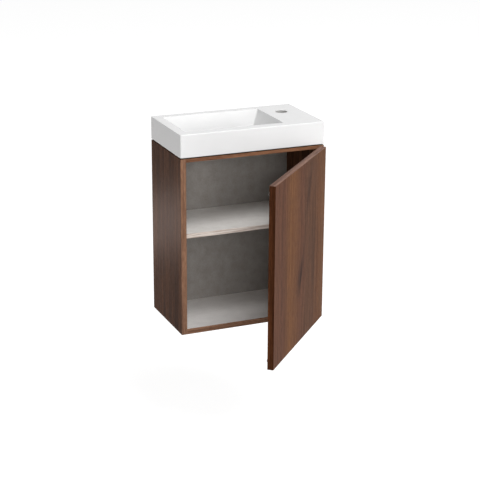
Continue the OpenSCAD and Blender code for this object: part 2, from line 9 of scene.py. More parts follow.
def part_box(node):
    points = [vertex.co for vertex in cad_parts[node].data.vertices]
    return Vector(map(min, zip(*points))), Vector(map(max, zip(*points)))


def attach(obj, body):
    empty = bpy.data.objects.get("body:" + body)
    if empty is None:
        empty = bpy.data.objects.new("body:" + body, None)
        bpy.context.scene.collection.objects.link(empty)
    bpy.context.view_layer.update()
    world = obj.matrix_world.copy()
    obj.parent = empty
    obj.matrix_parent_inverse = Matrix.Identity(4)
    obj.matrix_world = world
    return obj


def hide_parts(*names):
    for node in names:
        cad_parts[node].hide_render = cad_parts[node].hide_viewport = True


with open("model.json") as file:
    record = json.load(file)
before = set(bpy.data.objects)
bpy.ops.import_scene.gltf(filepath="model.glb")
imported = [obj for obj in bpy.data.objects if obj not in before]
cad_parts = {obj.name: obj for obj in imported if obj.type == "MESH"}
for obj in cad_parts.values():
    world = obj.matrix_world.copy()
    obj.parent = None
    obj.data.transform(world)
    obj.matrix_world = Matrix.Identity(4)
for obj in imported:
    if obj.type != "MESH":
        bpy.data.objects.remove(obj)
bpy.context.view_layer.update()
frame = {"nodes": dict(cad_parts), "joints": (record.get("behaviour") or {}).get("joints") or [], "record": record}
nodes = frame["nodes"]


# Cabinet sides and rails
# Boards faced with dark walnut, fifteen millimetres thick in the two sides, whose grain stands upright.
# The sides carry the floor board, the front rail and the hanging rail, all glued and dowelled in place.

def srgb(red, green, blue):
    """A colour as it is read off a screen, turned into the shader's linear one."""
    return tuple(((c / 255 + 0.055) / 1.055) ** 2.4 if c > 10 else c / 255 / 12.92
                 for c in (red, green, blue)) + (1.0,)


def grey(value):
    """A plain grey for a ramp that drives gloss or shade."""
    return (value, value, value, 1.0)


def adder(tree):
    """A short call that adds a node to a tree, with its settings and what goes into its sockets."""
    def add(kind, inputs=(), **settings):
        node = tree.nodes.new(kind)
        for key, value in settings.items():
            setattr(node, key, value)
        for socket, value in dict(inputs).items():
            if isinstance(value, bpy.types.NodeSocket):
                tree.links.new(value, node.inputs[socket])
            else:
                node.inputs[socket].default_value = value
        return node
    return add


def start_material(name, roughness, **sockets):
    """A material with one Principled shader, and the call that adds a node to it."""
    material = bpy.data.materials.new(name)
    material.use_nodes = True
    tree = material.node_tree
    shader = tree.nodes["Principled BSDF"]
    shader.inputs["Roughness"].default_value = roughness
    for socket, value in sockets.items():
        shader.inputs[socket.replace("_", " ")].default_value = value
    return material, shader, tree, adder(tree)


def lay_grain(add, turn=(0.0, 0.0, 0.0), place=(0.0, 0.0, 0.0)):
    """Object coordinates turned so that the grain runs along Z, and moved to another part of the log."""
    where = add("ShaderNodeTexCoord").outputs["Object"]
    return add("ShaderNodeMapping", {"Vector": where, "Rotation": turn, "Location": place}).outputs["Vector"]


def marks(add, grain, across, along, detail=2.0, breakup=0.5):
    """Soft marks stretched along the grain: so many in a metre across it and so many along it."""
    where = add("ShaderNodeMapping", {"Vector": grain, "Scale": (across, across, along)}).outputs["Vector"]
    return add("ShaderNodeTexNoise", {"Vector": where, "Scale": 1.0, "Detail": detail,
                                      "Roughness": breakup}).outputs["Fac"]


def ramp(add, factor, stops):
    """A colour ramp through a list of places and colours."""
    node = add("ShaderNodeValToRGB", {"Fac": factor})
    points = node.color_ramp.elements
    points[0].position, points[0].color = stops[0]
    points[1].position, points[1].color = stops[-1]
    for place, colour in stops[1:-1]:
        points.new(place).color = colour
    return node.outputs["Color"]


def times(add, first, second, share=1.0):
    """One colour darkened or lightened by another."""
    return add("ShaderNodeMix", {"Factor": share, "A": first, "B": second}, data_type="RGBA",
               blend_type="MULTIPLY").outputs["Result"]


def reckon(add, operation, *values):
    """A sum on one or two numbers of the pattern."""
    return add("ShaderNodeMath", enumerate(values), operation=operation).outputs["Value"]


def wander(add, grain, reach):
    """Grain coordinates pushed sideways by slow waves, so that no line runs quite straight."""
    wave = add("ShaderNodeMapping", {"Vector": grain, "Scale": (7, 7, 2.4)}).outputs["Vector"]
    wave = add("ShaderNodeTexNoise", {"Vector": wave, "Scale": 1.0, "Detail": 2.0}).outputs["Color"]
    wave = add("ShaderNodeVectorMath", {0: wave, 1: (0.5, 0.5, 0.5)}, operation="SUBTRACT").outputs["Vector"]
    wave = add("ShaderNodeVectorMath", {0: wave, "Scale": reach}, operation="SCALE").outputs["Vector"]
    return add("ShaderNodeVectorMath", {0: grain, 1: wave}, operation="ADD").outputs["Vector"]


def bands(add, grain, tones):
    """Broad soft bands in four tones along wandering grain; returns the grain too."""
    grain = wander(add, grain, 0.02)
    broad = marks(add, grain, 24, 0.9, detail=3.0, breakup=0.55)
    return grain, ramp(add, broad, [(0.34, tones[0]), (0.46, tones[1]), (0.56, tones[2]), (0.68, tones[3])])


def walnut(name, tones=None, turn=(0.0, 0.0, 0.0), place=(0.0, 0.0, 0.0),
           streaky=((75, 2.2, 0.8), (200, 6.5, 1.0)), roughness=0.42, polish=0.01, figure=None):
    """Walnut face: broad bands, streaks a few millimetres wide, fine fibre, short pores, satin film."""
    material, shader, tree, add = start_material(name, roughness, Specular_IOR_Level=polish)
    grain = lay_grain(add, turn, place)
    grain, colour = figure(add, grain) if figure else bands(add, grain, tones)
    for across, along, share in streaky:
        streaks = marks(add, grain, across, along, detail=3.0, breakup=0.6)
        colour = times(add, colour, ramp(add, streaks, [(0.32, (0.70, 0.67, 0.68, 1)), (0.5, grey(1.0)),
                                                        (0.68, (1.22, 1.18, 1.12, 1))]), share)
    fibre = marks(add, grain, 520, 55, detail=4.0, breakup=0.65)
    fibre_shade = ramp(add, fibre, [(0.3, (0.70, 0.68, 0.67, 1)), (0.7, (1.30, 1.29, 1.28, 1))])
    colour = times(add, colour, fibre_shade)
    pores = marks(add, grain, 1500, 55, detail=1.0)
    pores = ramp(add, pores, [(0.32, (0.6, 0.55, 0.52, 1)), (0.4, grey(1.0))])
    colour = times(add, colour, pores, 0.7)
    tree.links.new(colour, shader.inputs["Base Color"])
    height = reckon(add, "ADD", fibre, pores)
    bump = add("ShaderNodeBump", {"Height": height, "Strength": 0.2, "Distance": 0.0002})
    tree.links.new(bump.outputs["Normal"], shader.inputs["Normal"])
    gloss = ramp(add, fibre, [(0.3, grey(roughness - 0.05)), (0.7, grey(roughness + 0.07))])
    tree.links.new(gloss, shader.inputs["Roughness"])
    return material


def dress(material, *names):
    """Gives CAD pieces their material."""
    for name in names:
        piece = nodes[name]
        piece.data.materials.clear()
        piece.data.materials.append(material)


level = (0.0, -math.pi / 2, 0.0)
side_tones = [srgb(74, 49, 36), srgb(84, 57, 42), srgb(94, 64, 47), srgb(103, 70, 50)]
dress(walnut("walnut_upright", side_tones, place=(1.3, 4.1, 0.7), roughness=0.27, polish=0.0055,
             streaky=((75, 2.2, 1.0), (125, 3.0, 0.9), (200, 6.5, 1.0))), "left_side", "right_side")
dress(walnut("walnut_level", side_tones, turn=level, place=(5.2, 0.3, 0.0)), "front_rail", "hanging_rail")


# Floor board and back panel
# The floor board has a pale grey printed face, softly mottled. The thin back panel, which slides in
# grooves behind it, has a darker grey one, partly painted shade at the back of the cabinet's hollow, and
# its rear is raw brown fibreboard.

def printed_grey(add, pale, deep, turn=(0.0, 0.0, 0.0)):
    """Printed grey face: soft mottling and a fine fleck; returns its colour and its fine relief."""
    face = lay_grain(add, turn)
    mottle = marks(add, face, 45, 34, detail=4.0, breakup=0.6)
    fleck = marks(add, face, 420, 260, detail=2.0)
    mixed = add("ShaderNodeMix", {"Factor": 0.35, "A": mottle, "B": fleck}).outputs["Result"]
    relief = add("ShaderNodeBump", {"Height": fleck, "Strength": 0.12, "Distance": 0.0001}).outputs["Normal"]
    return ramp(add, mixed, [(0.36, deep), (0.64, pale)]), relief


def board_face(name, pale, deep, turn, roughness):
    """A board with a printed grey face."""
    material, shader, tree, add = start_material(name, roughness, Specular_IOR_Level=0.3)
    colour, relief = printed_grey(add, pale, deep, turn)
    tree.links.new(colour, shader.inputs["Base Color"])
    tree.links.new(relief, shader.inputs["Normal"])
    return material


def thin_back(name, pale, deep):
    """The back panel: printed grey towards the front, raw brown fibreboard towards the wall."""
    material, shader, tree, add = start_material(name, 0.6, Specular_IOR_Level=0.25)
    colour, relief = printed_grey(add, pale, deep)
    fibres = marks(add, lay_grain(add), 420, 420, detail=4.0, breakup=0.7)
    raw = ramp(add, fibres, [(0.3, srgb(118, 88, 62)), (0.7, srgb(156, 122, 90))])
    facing = add("ShaderNodeTexCoord").outputs["Normal"]
    backwards = add("ShaderNodeSeparateXYZ", {"Vector": facing}).outputs["Y"]
    rear = reckon(add, "GREATER_THAN", backwards, 0.5)
    colour = add("ShaderNodeMix", {"Factor": rear, "A": colour, "B": raw}, data_type="RGBA").outputs["Result"]
    tree.links.new(colour, shader.inputs["Base Color"])
    tree.links.new(relief, shader.inputs["Normal"])
    return material


dress(board_face("grey_floor_face", srgb(246, 243, 240), srgb(234, 231, 228), level, 0.5), "floor_board")
# The back panel's greys are far darker than the floor board's: partly painted shade at the back of the hollow.
dress(thin_back("grey_back_face_painted_shade", srgb(154, 149, 144), srgb(137, 132, 127)), "back_panel")


# Cabinet edging
# Thin walnut strips glued on the front edges of the sides, the floor board and the front rail, with
# their outer arrises eased. They are a little redder and paler than the faces. The rail's strip has
# darker tones, painted shade for the shadow under the basin's front edge.

def block(low, high):
    """A closed box between two corners."""
    bm = bmesh.new()
    bmesh.ops.create_cube(bm, size=1.0)
    low, high = Vector(low), Vector(high)
    bmesh.ops.scale(bm, vec=high - low, verts=bm.verts)
    bmesh.ops.translate(bm, vec=(low + high) / 2, verts=bm.verts)
    return bm


def ease(bm, edges, radius, segments=3):
    """Rounds the given edges."""
    bmesh.ops.bevel(bm, geom=edges, offset=radius, offset_type="OFFSET", affect="EDGES", segments=segments,
                    profile=0.5, material=-1, clamp_overlap=True)


def make_piece(name, meshes, material, body, replaced):
    """Joins finished meshes into one piece that rides on a body and stands for a CAD node."""
    joined = bmesh.new()
    for bm in meshes:
        part = bpy.data.meshes.new(name + "_part")
        bm.to_mesh(part)
        joined.from_mesh(part)
        bm.free()
        bpy.data.meshes.remove(part)
    mesh = bpy.data.meshes.new(name)
    joined.to_mesh(mesh)
    joined.free()
    piece = bpy.data.objects.new(name, mesh)
    bpy.context.scene.collection.objects.link(piece)
    mesh.materials.append(material)
    mesh.shade_smooth()
    mesh.set_sharp_from_angle(angle=math.radians(35))
    piece.modifiers.new("weighted", "WEIGHTED_NORMAL").keep_sharp = True
    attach(piece, body)
    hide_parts(replaced)
    return piece


same_place = 1e-6


def edges_where(bm, test):
    """The edges whose two ends both pass a test on their place."""
    return [e for e in bm.edges if all(test(v.co) for v in e.verts)]


def front_edges(bm):
    """The edges that bound the face towards the front."""
    front = min(v.co.y for v in bm.verts)
    return edges_where(bm, lambda place: abs(place.y - front) < same_place)


edge_tones = [srgb(120, 89, 71), srgb(132, 100, 81), srgb(142, 109, 88), srgb(151, 116, 94)]
# The rail strip's tones are the edging's tones darkened: painted shade under the basin's front edge.
rail_tones_painted_shade = [srgb(112, 78, 59), srgb(123, 87, 66), srgb(131, 94, 71), srgb(140, 101, 77)]
strip_arris = 0.0004
low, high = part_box("cabinet_edging")
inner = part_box("floor_board")[1]
rail_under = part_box("front_rail")[0].z
upright = [block((x0, low.y, low.z), (x1, high.y, high.z))
           for x0, x1 in ((low.x, -inner.x), (inner.x, high.x))]
floor_strip = block((-inner.x, low.y, low.z), (inner.x, high.y, inner.z))
rail_strip = block((-inner.x, low.y, rail_under), (inner.x, high.y, high.z))
for strip in upright + [floor_strip, rail_strip]:
    ease(strip, front_edges(strip), strip_arris)
make_piece("upright_edging", upright, walnut("walnut_edging_upright", edge_tones, place=(8.4, 2.2, 1.1)),
           "cabinet", "cabinet_edging")
make_piece("floor_edging", [floor_strip],
           walnut("walnut_edging_floor", edge_tones, turn=level, place=(3.1, 7.7, 0.4)),
           "cabinet", "cabinet_edging")
make_piece("rail_edging", [rail_strip],
           walnut("walnut_edging_rail", rail_tones_painted_shade, turn=level, place=(3.9, 5.7, 0.9)),
           "cabinet", "cabinet_edging")


# Dowels
# Beech pegs, glued into the ends of the floor board and the rails. They show nowhere once the cabinet
# is together.

def raw_beech(name):
    """Unfinished beech: pale, with fine short flecks."""
    material, shader, tree, add = start_material(name, 0.75, Specular_IOR_Level=0.2)
    fleck = marks(add, lay_grain(add, level), 600, 60)
    tree.links.new(ramp(add, fleck, [(0.35, srgb(178, 140, 98)), (0.65, srgb(214, 180, 136))]),
                   shader.inputs["Base Color"])
    return material


dress(raw_beech("beech"), "dowels")


# Shelf
# A twelve millimetre board with a pale, faintly grained face and a strip of pale wood print along its
# front. It lies loose on four plated pins with collars.

def pale_edging(name):
    """Pale wood print on the shelf's front strip, its grain level and plainly seen."""
    material, shader, tree, add = start_material(name, 0.5, Specular_IOR_Level=0.3)
    grain = marks(add, lay_grain(add, level), 480, 13, detail=3.0, breakup=0.6)
    colour = ramp(add, grain, [(0.32, srgb(174, 154, 142)), (0.5, srgb(216, 203, 193)),
                               (0.68, srgb(240, 232, 224))])
    tree.links.new(colour, shader.inputs["Base Color"])
    bump = add("ShaderNodeBump", {"Height": grain, "Strength": 0.15, "Distance": 0.0001})
    tree.links.new(bump.outputs["Normal"], shader.inputs["Normal"])
    return material


def plated(name, colour, roughness, cloud=0.06):
    """Plated metal: bright, with a faint unevenness in its gloss and very fine drawing marks."""
    material, shader, tree, add = start_material(name, roughness, Metallic=1.0)
    where = lay_grain(add)
    uneven = marks(add, where, 90, 90, detail=3.0)
    tree.links.new(ramp(add, uneven, [(0.3, grey(roughness - cloud)), (0.7, grey(roughness + cloud))]),
                   shader.inputs["Roughness"])
    darker = tuple(0.86 * c for c in colour[:3]) + (1,)
    tree.links.new(ramp(add, uneven, [(0.25, darker), (0.75, colour)]), shader.inputs["Base Color"])
    drawn = marks(add, where, 2600, 320)
    bump = add("ShaderNodeBump", {"Height": drawn, "Strength": 0.05, "Distance": 0.00005})
    tree.links.new(bump.outputs["Normal"], shader.inputs["Normal"])
    return material


def soften(radius, *names):
    """Rounds the sharp edges of CAD metal parts a little, as pressing and plating leave them."""
    for name in names:
        weld = nodes[name].modifiers.new("weld", "WELD")
        weld.merge_threshold = 0.00001
        rounding = nodes[name].modifiers.new("rounding", "BEVEL")
        rounding.width = radius
        rounding.segments = 2
        rounding.limit_method = "ANGLE"
        rounding.angle_limit = math.radians(40)
        rounding.harden_normals = False


dress(board_face("pale_shelf_face", srgb(238, 235, 231), srgb(226, 222, 217), level, 0.48), "shelf")
strip = block(*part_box("shelf_edging"))
ease(strip, front_edges(strip), strip_arris)
make_piece("shelf_front_strip", [strip], pale_edging("pale_edging"),
           "cabinet", "shelf_edging")
nickel = plated("nickel_plate", srgb(205, 203, 199), 0.27)
dress(nickel, "shelf_pins")
soften(0.0002, "shelf_pins")


# Cleats
# Two folded strips of zinc-plated steel. The lower one is screwed to the wall; the upper one, screwed
# to the back of the hanging rail, hooks over it and carries the whole unit.

zinc = plated("zinc_plate", srgb(184, 189, 193), 0.38, 0.1)
bright_zinc = plated("bright_zinc_screw", srgb(206, 209, 211), 0.25)
dress(zinc, "wall_cleat", "cabinet_cleat")
soften(0.0004, "wall_cleat", "cabinet_cleat")
dress(bright_zinc, "cleat_screws")
soften(0.00012, "cleat_screws")


# Basin
# A white casting with a gloss face: upright outer walls, a flat top, and a rectangular bowl whose
# walls lean in to a coved floor. The ledge on its right has one tap hole. It is open underneath.

def gloss_white(name):
    """White casting: even white under a clear gloss, with a hardly visible ripple."""
    material, shader, tree, add = start_material(name, 0.2, Coat_Weight=0.2, Coat_Roughness=0.1,
                                                 Specular_IOR_Level=0.4)
    where = lay_grain(add)
    tint = marks(add, where, 14, 14)
    tree.links.new(ramp(add, tint, [(0.3, srgb(232, 232, 232)), (0.7, srgb(235, 235, 235))]),
                   shader.inputs["Base Color"])
    tree.links.new(ramp(add, marks(add, where, 60, 60, detail=3.0), [(0.3, grey(0.18)), (0.7, grey(0.26))]),
                   shader.inputs["Roughness"])
    bump = add("ShaderNodeBump", {"Height": tint, "Strength": 0.04, "Distance": 0.0004})
    tree.links.new(bump.outputs["Normal"], shader.inputs["Normal"])
    return material


def bare_hole_wall_painted_shade(name):
    """The tap hole's wall, which has no gloss face: rough, and greyer partly as painted shade in the hole."""
    material, shader, tree, add = start_material(name, 0.8, Specular_IOR_Level=0.2)
    grit = marks(add, lay_grain(add), 700, 700, detail=3.0)
    tree.links.new(ramp(add, grit, [(0.3, srgb(180, 179, 177)), (0.7, srgb(202, 201, 199))]),
                   shader.inputs["Base Color"])
    bump = add("ShaderNodeBump", {"Height": grit, "Strength": 0.3, "Distance": 0.0001})
    tree.links.new(bump.outputs["Normal"], shader.inputs["Normal"])
    return material


def carve(target, tool, operation="DIFFERENCE"):
    """The first mesh with the second one taken away from it or added to it; both are used up."""
    objects = []
    for bm in (target, tool):
        mesh = bpy.data.meshes.new("carving")
        bm.to_mesh(mesh)
        bm.free()
        objects.append(bpy.data.objects.new("carving", mesh))
        bpy.context.scene.collection.objects.link(objects[-1])
    cut = objects[0].modifiers.new("cut", "BOOLEAN")
    cut.operation, cut.object, cut.solver = operation, objects[1], "EXACT"
    result = bmesh.new()
    result.from_object(objects[0], bpy.context.evaluated_depsgraph_get())
    for carved in objects:
        mesh = carved.data
        bpy.data.objects.remove(carved)
        bpy.data.meshes.remove(mesh)
    return result


basin_low, basin_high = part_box("basin")
shell, ledge_thickness = 0.009, 0.014
rim_left, rim_back, rim_front, tap_ledge = 0.024, 0.022, 0.028, 0.104
bowl_depth, bowl_corner, bowl_cove = 0.046, 0.004, 0.009
lean_right, lean_other = 0.016, 0.009
floor_z = basin_high.z - bowl_depth


def rising_edges(bm):
    """The edges that run from a lower to a higher place."""
    return [e for e in bm.edges if abs(e.verts[0].co.z - e.verts[1].co.z) > same_place]


def outer_arris(bm, height):
    """The edges round the casting at one height, apart from the one against the wall."""
    against_wall = edges_where(bm, lambda place: place.y > basin_high.y - same_place)
    around = edges_where(bm, lambda place: abs(place.z - height) < same_place)
    return [e for e in around if e not in against_wall]


def bowl_shape(grow, bottom, top):
    """The bowl's tapered form between two heights, grown outwards for the outside of its walls."""
    bm = block((basin_low.x + rim_left - grow, basin_low.y + rim_front - grow, bottom),
               (basin_high.x - tap_ledge + grow, basin_high.y - rim_back + grow, top))
    middle = sum((v.co for v in bm.verts), Vector()) / 8
    for v in bm.verts:
        share = (basin_high.z - v.co.z) / bowl_depth
        v.co.x += lean_other * share if v.co.x < middle.x else -lean_right * share
        v.co.y += lean_other * share if v.co.y < middle.y else -lean_other * share
    ease(bm, rising_edges(bm), bowl_corner + grow, 8)
    ease(bm, edges_where(bm, lambda place: place.z < bottom + same_place), bowl_cove + grow, 6)
    return bm


def round_tool(mount, radius, bottom, top):
    """An upright round cutter on a mount's axis."""
    x, y, z = mount["pos_m"]
    bm = bmesh.new()
    bmesh.ops.create_cone(bm, cap_ends=True, segments=72, radius1=radius, radius2=radius,
                          depth=top - bottom)
    bmesh.ops.translate(bm, vec=(x, y, (bottom + top) / 2), verts=bm.verts)
    return bm


mounts = {mount["name"]: mount for mount in frame["record"]["mounts"]}
tap, waste = mounts["tap_hole"], mounts["waste_hole"]
tap_r, waste_r = tap["dims"]["r_mm"] / 1000, waste["dims"]["r_mm"] / 1000
seat_r, seat_depth = 0.033, 0.002
upright_r, top_r, lower_r = 0.004, 0.002, 0.0008
tap_rim_r, bowl_rim_r, drain_rim_r = 0.0016, 0.0009, 0.0005
cutter_past = 0.01
casting = block(basin_low, basin_high)
front = front_edges(casting)
ease(casting, [e for e in rising_edges(casting) if e in front], upright_r, 6)
ease(casting, outer_arris(casting, basin_high.z), top_r, 5)
ease(casting, outer_arris(casting, basin_low.z), lower_r, 3)
inside = Vector((shell, shell, 0))
casting = carve(casting, block(basin_low + inside - Vector((0, 0, cutter_past)),
                               basin_high - inside - Vector((0, 0, ledge_thickness))))
casting = carve(casting, bowl_shape(shell, floor_z - shell, basin_high.z - ledge_thickness / 2), "UNION")
casting = carve(casting, bowl_shape(0.0, floor_z, basin_high.z + cutter_past))
casting = carve(casting, round_tool(tap, tap_r, basin_low.z, basin_high.z + cutter_past))
casting = carve(casting, round_tool(waste, waste_r, basin_low.z, floor_z + cutter_past))
casting = carve(casting, round_tool(waste, seat_r, floor_z - seat_depth, floor_z + cutter_past))
bmesh.ops.remove_doubles(casting, verts=casting.verts, dist=same_place)
casting.normal_update()
axis_x, axis_y = tap["pos_m"][:2]
# The tap hole's wall takes the second material, whose grey is partly painted shade inside the hole.
for face in casting.faces:
    middle = face.calc_center_median()
    if abs(face.normal.z) < 0.1 and math.hypot(middle.x - axis_x, middle.y - axis_y) < tap_r * 1.01:
        face.material_index = 1


def rim(bm, height, tolerance=2e-5):
    """The edges where a level face at this height breaks into something steep."""
    found = []
    for e in bm.edges:
        if len(e.link_faces) == 2 and all(abs(v.co.z - height) < tolerance for v in e.verts):
            lean = sorted(abs(f.normal.z) for f in e.link_faces)
            if lean[1] > 0.99 and lean[0] < 0.7:
                found.append(e)
    return found


def round_the_tap(e):
    """Whether an edge belongs to the tap hole."""
    return all(math.hypot(v.co.x - axis_x, v.co.y - axis_y) < 2 * tap_r for v in e.verts)


for at_tap, radius in ((True, tap_rim_r), (False, bowl_rim_r)):
    openings = [e for e in rim(casting, basin_high.z)
                if all(v.co.y < basin_high.y - same_place for v in e.verts)]
    ease(casting, [e for e in openings if round_the_tap(e) == at_tap], radius, 3)
ease(casting, rim(casting, floor_z), drain_rim_r, 2)
basin = make_piece("basin_casting", [casting], gloss_white("gloss_white_casting"),
                   "cabinet", "basin")
basin.data.materials.append(bare_hole_wall_painted_shade("bare_hole_wall_painted_shade"))


# Sealant
# A thin bead of clear sealant between the cabinet's top and the basin's underside, set back from the
# faces. Its colour is painted shade: a very dark brown standing in for the shadow in the joint, so that
# the joint reads as a dark line.

def sealant(name):
    """Clear sealant coloured as painted shade: very dark brown for the shadowed joint, soft and slightly uneven.
    """
    material, shader, tree, add = start_material(name, 0.35, Specular_IOR_Level=0.3)
    painted_joint_shade = marks(add, lay_grain(add), 120, 120)
    tree.links.new(ramp(add, painted_joint_shade, [(0.3, srgb(26, 19, 15)), (0.7, srgb(38, 28, 22))]),
                   shader.inputs["Base Color"])
    return material


# The bead's dark colour is painted shade for the joint.
dress(sealant("sealant"), "sealant_bead")


# Door
# A plain sixteen millimetre slab with an upright walnut face, no handle, and a thin strip glued round
# its four edges. It is modelled standing open, turned about its hinge pins.

swing = frame["joints"][0]
pin = Vector(swing["pos_m"])
open_angle = -math.radians(swing["range_deg"][0])
open_turn = Matrix.Rotation(open_angle, 3, "Z")
shut_turn = (0.0, 0.0, -open_angle)
shut_place = pin - Matrix.Rotation(-open_angle, 3, "Z") @ pin
cabinet_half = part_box("cabinet_edging")[1].x
door_side_gap, door_thickness, pin_depth = 0.002, 0.016, 0.0096
half_door = cabinet_half - door_side_gap
door_back = pin.y + pin_depth
door_front = door_back - door_thickness
door_low, door_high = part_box("door_edging")[0].z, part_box("door_edging")[1].z


def fade(add, place, middle, width):
    """1 at the middle, fading softly to 0 on both sides."""
    off = reckon(add, "DIVIDE", reckon(add, "SUBTRACT", place, middle), width)
    return reckon(add, "EXPONENT", reckon(add, "MULTIPLY", reckon(add, "MULTIPLY", off, off), -1.0))


def upright_from(add, side, height, lean):
    """Sideways places put straight, so that a line that leans as it rises comes out upright."""
    return reckon(add, "SUBTRACT", side, reckon(add, "MULTIPLY", height, lean))


def door_figure(add, grain):
    """The door's own veneer leaf: wide brown bands, a broken dark streak that leans, and a narrow knot."""
    purple, brown, orange, dull = srgb(101, 69, 54), srgb(108, 74, 53), srgb(120, 82, 55), srgb(99, 70, 54)
    russet = srgb(113, 80, 58)
    knot_side, knot_height, knot_reach, knot_rise, knot_swell = 0.003, -0.256, 0.05, 0.085, 0.5
    eye_lean, eye_width, eye_rise = 0.26, 0.0055, 0.036
    place = add("ShaderNodeSeparateXYZ", {"Vector": wander(add, grain, 0.022)}).outputs
    off_side = reckon(add, "SUBTRACT", place["X"], knot_side)
    off_height = reckon(add, "SUBTRACT", place["Z"], knot_height)
    near_knot = reckon(add, "MULTIPLY", fade(add, off_side, 0.0, knot_reach),
                       fade(add, off_height, 0.0, knot_rise))
    swell = reckon(add, "SUBTRACT", 1.0, reckon(add, "MULTIPLY", near_knot, knot_swell))
    bent = reckon(add, "ADD", reckon(add, "MULTIPLY", off_side, swell), knot_side)
    parted = add("ShaderNodeCombineXYZ", {"X": bent, "Y": place["Y"], "Z": place["Z"]}).outputs["Vector"]
    share = reckon(add, "DIVIDE", reckon(add, "ADD", bent, half_door), 2 * half_door)
    colour = ramp(add, share, [(0.0, purple), (0.17, purple), (0.24, brown), (0.30, orange), (0.42, brown),
                               (0.52, purple), (0.62, dull), (0.76, dull), (0.88, brown), (1.0, russet)])
    broken = marks(add, parted, 60, 9, detail=3.0, breakup=0.6)
    lines = ((0.072, 0.28, 0.013, -0.03, 0.07, 0.9), (0.072, 0.28, 0.011, -0.235, 0.06, 0.9),
             (0.112, 0.03, 0.012, -0.27, 0.12, 0.5), (-0.140, 0.0, 0.012, -0.20, 0.20, 0.35))
    for middle, lean, width, height, reach, strength in lines:
        dark = reckon(add, "MULTIPLY", fade(add, upright_from(add, bent, place["Z"], lean), middle, width),
                      fade(add, place["Z"], height, reach))
        dark = reckon(add, "MULTIPLY", reckon(add, "MULTIPLY", dark, broken), 2 * strength)
        colour = times(add, colour, ramp(add, dark, [(0.0, grey(1.0)), (1.0, (0.62, 0.66, 0.76, 1))]))
    off_eye = upright_from(add, off_side, off_height, eye_lean)
    eye = reckon(add, "MULTIPLY", fade(add, off_eye, 0.0, eye_width), fade(add, off_height, 0.0, eye_rise))
    colour = times(add, colour, ramp(add, eye, [(0.1, grey(1.0)), (0.9, (0.50, 0.56, 0.62, 1))]))
    return parted, colour


dress(walnut("walnut_door", turn=shut_turn, place=tuple(shut_place), figure=door_figure,
             streaky=((75, 2.2, 0.5), (200, 6.5, 0.75))), "door")


def strip_figure_painted_light(tones, front_painted_light, rear_painted_light):
    """Bands in the strip's tones, times painted light graded evenly from the door's front to its rear."""
    def figure(add, grain):
        grain, colour = bands(add, grain, tones)
        shut = lay_grain(add, shut_turn, tuple(shut_place))
        through = add("ShaderNodeSeparateXYZ", {"Vector": shut}).outputs["Y"]
        depth = reckon(add, "DIVIDE", reckon(add, "SUBTRACT", through, door_front), door_thickness)
        shade = ramp(add, depth, [(0.0, grey(front_painted_light)), (1.0, grey(rear_painted_light))])
        return grain, times(add, colour, shade)
    return figure


strip_t, door_arris = 0.0008, 0.0005
strips = {
    "door_top_strip": ((-half_door, door_front, door_high - strip_t), (half_door, door_back, door_high)),
    "door_bottom_strip": ((-half_door, door_front, door_low), (half_door, door_back, door_low + strip_t)),
    "door_free_strip": ((-half_door, door_front, door_low + strip_t),
                        (-half_door + strip_t, door_back, door_high - strip_t)),
    "door_hinge_strip": ((half_door - strip_t, door_front, door_low + strip_t),
                         (half_door, door_back, door_high - strip_t)),
}
# The level strips are turned flat after the door is shut, so that their grain runs along them.
flat_turn = tuple((Matrix.Rotation(-math.pi / 2, 3, "Y") @ open_turn.transposed()).to_euler())
# One edge band in two sets of tones: paler on the level strips, painted light where the top edge is lit, and
# darker on the upright strips, painted shade where the free edge is shaded.
pale_tones_painted_light = [srgb(112, 86, 76), srgb(121, 95, 84), srgb(131, 104, 93), srgb(142, 116, 105)]
dark_tones_painted_shade = [srgb(54, 30, 18), srgb(62, 35, 20), srgb(69, 40, 24), srgb(77, 46, 28)]
# Level strips: painted highlight along the front arris, a little painted shade at the rear. Upright strips:
# painted shade towards the front, painted light towards the rear.
level_wood = walnut("walnut_door_strip_level", turn=flat_turn, place=(6.1, 1.9, 0.2),
                    figure=strip_figure_painted_light(pale_tones_painted_light, 1.15, 0.95))
upright_wood = walnut("walnut_door_strip_upright", turn=shut_turn, place=(9.3, 4.4, 2.1),
                      figure=strip_figure_painted_light(dark_tones_painted_shade, 0.85, 1.3))
for name, (low, high) in strips.items():
    strip = block(low, high)
    flat = low[0] < 0 < high[0]
    axis = 2 if flat else 0
    middle = (door_low + door_high) / 2 if flat else 0.0
    outer = max(low[axis], high[axis], key=lambda face: abs(face - middle))
    ease(strip, edges_where(strip, lambda place: abs(place[axis] - outer) < same_place), door_arris)
    bmesh.ops.rotate(strip, cent=pin, matrix=open_turn, verts=strip.verts)
    make_piece(name, [strip], level_wood if flat else upright_wood, "door", "door_edging")


# Door buffers
# Two clear soft domes stuck on the inside of the door near its free edge, where they meet the side
# panel's front edge and take the knock out of closing.

def clear_soft(name):
    """Clear soft plastic, slightly hazy."""
    material, shader, tree, add = start_material(name, 0.22, Transmission_Weight=0.75, IOR=1.45)
    haze = marks(add, lay_grain(add), 500, 500)
    tree.links.new(ramp(add, haze, [(0.3, srgb(226, 230, 231)), (0.7, srgb(243, 246, 246))]),
                   shader.inputs["Base Color"])
    return material


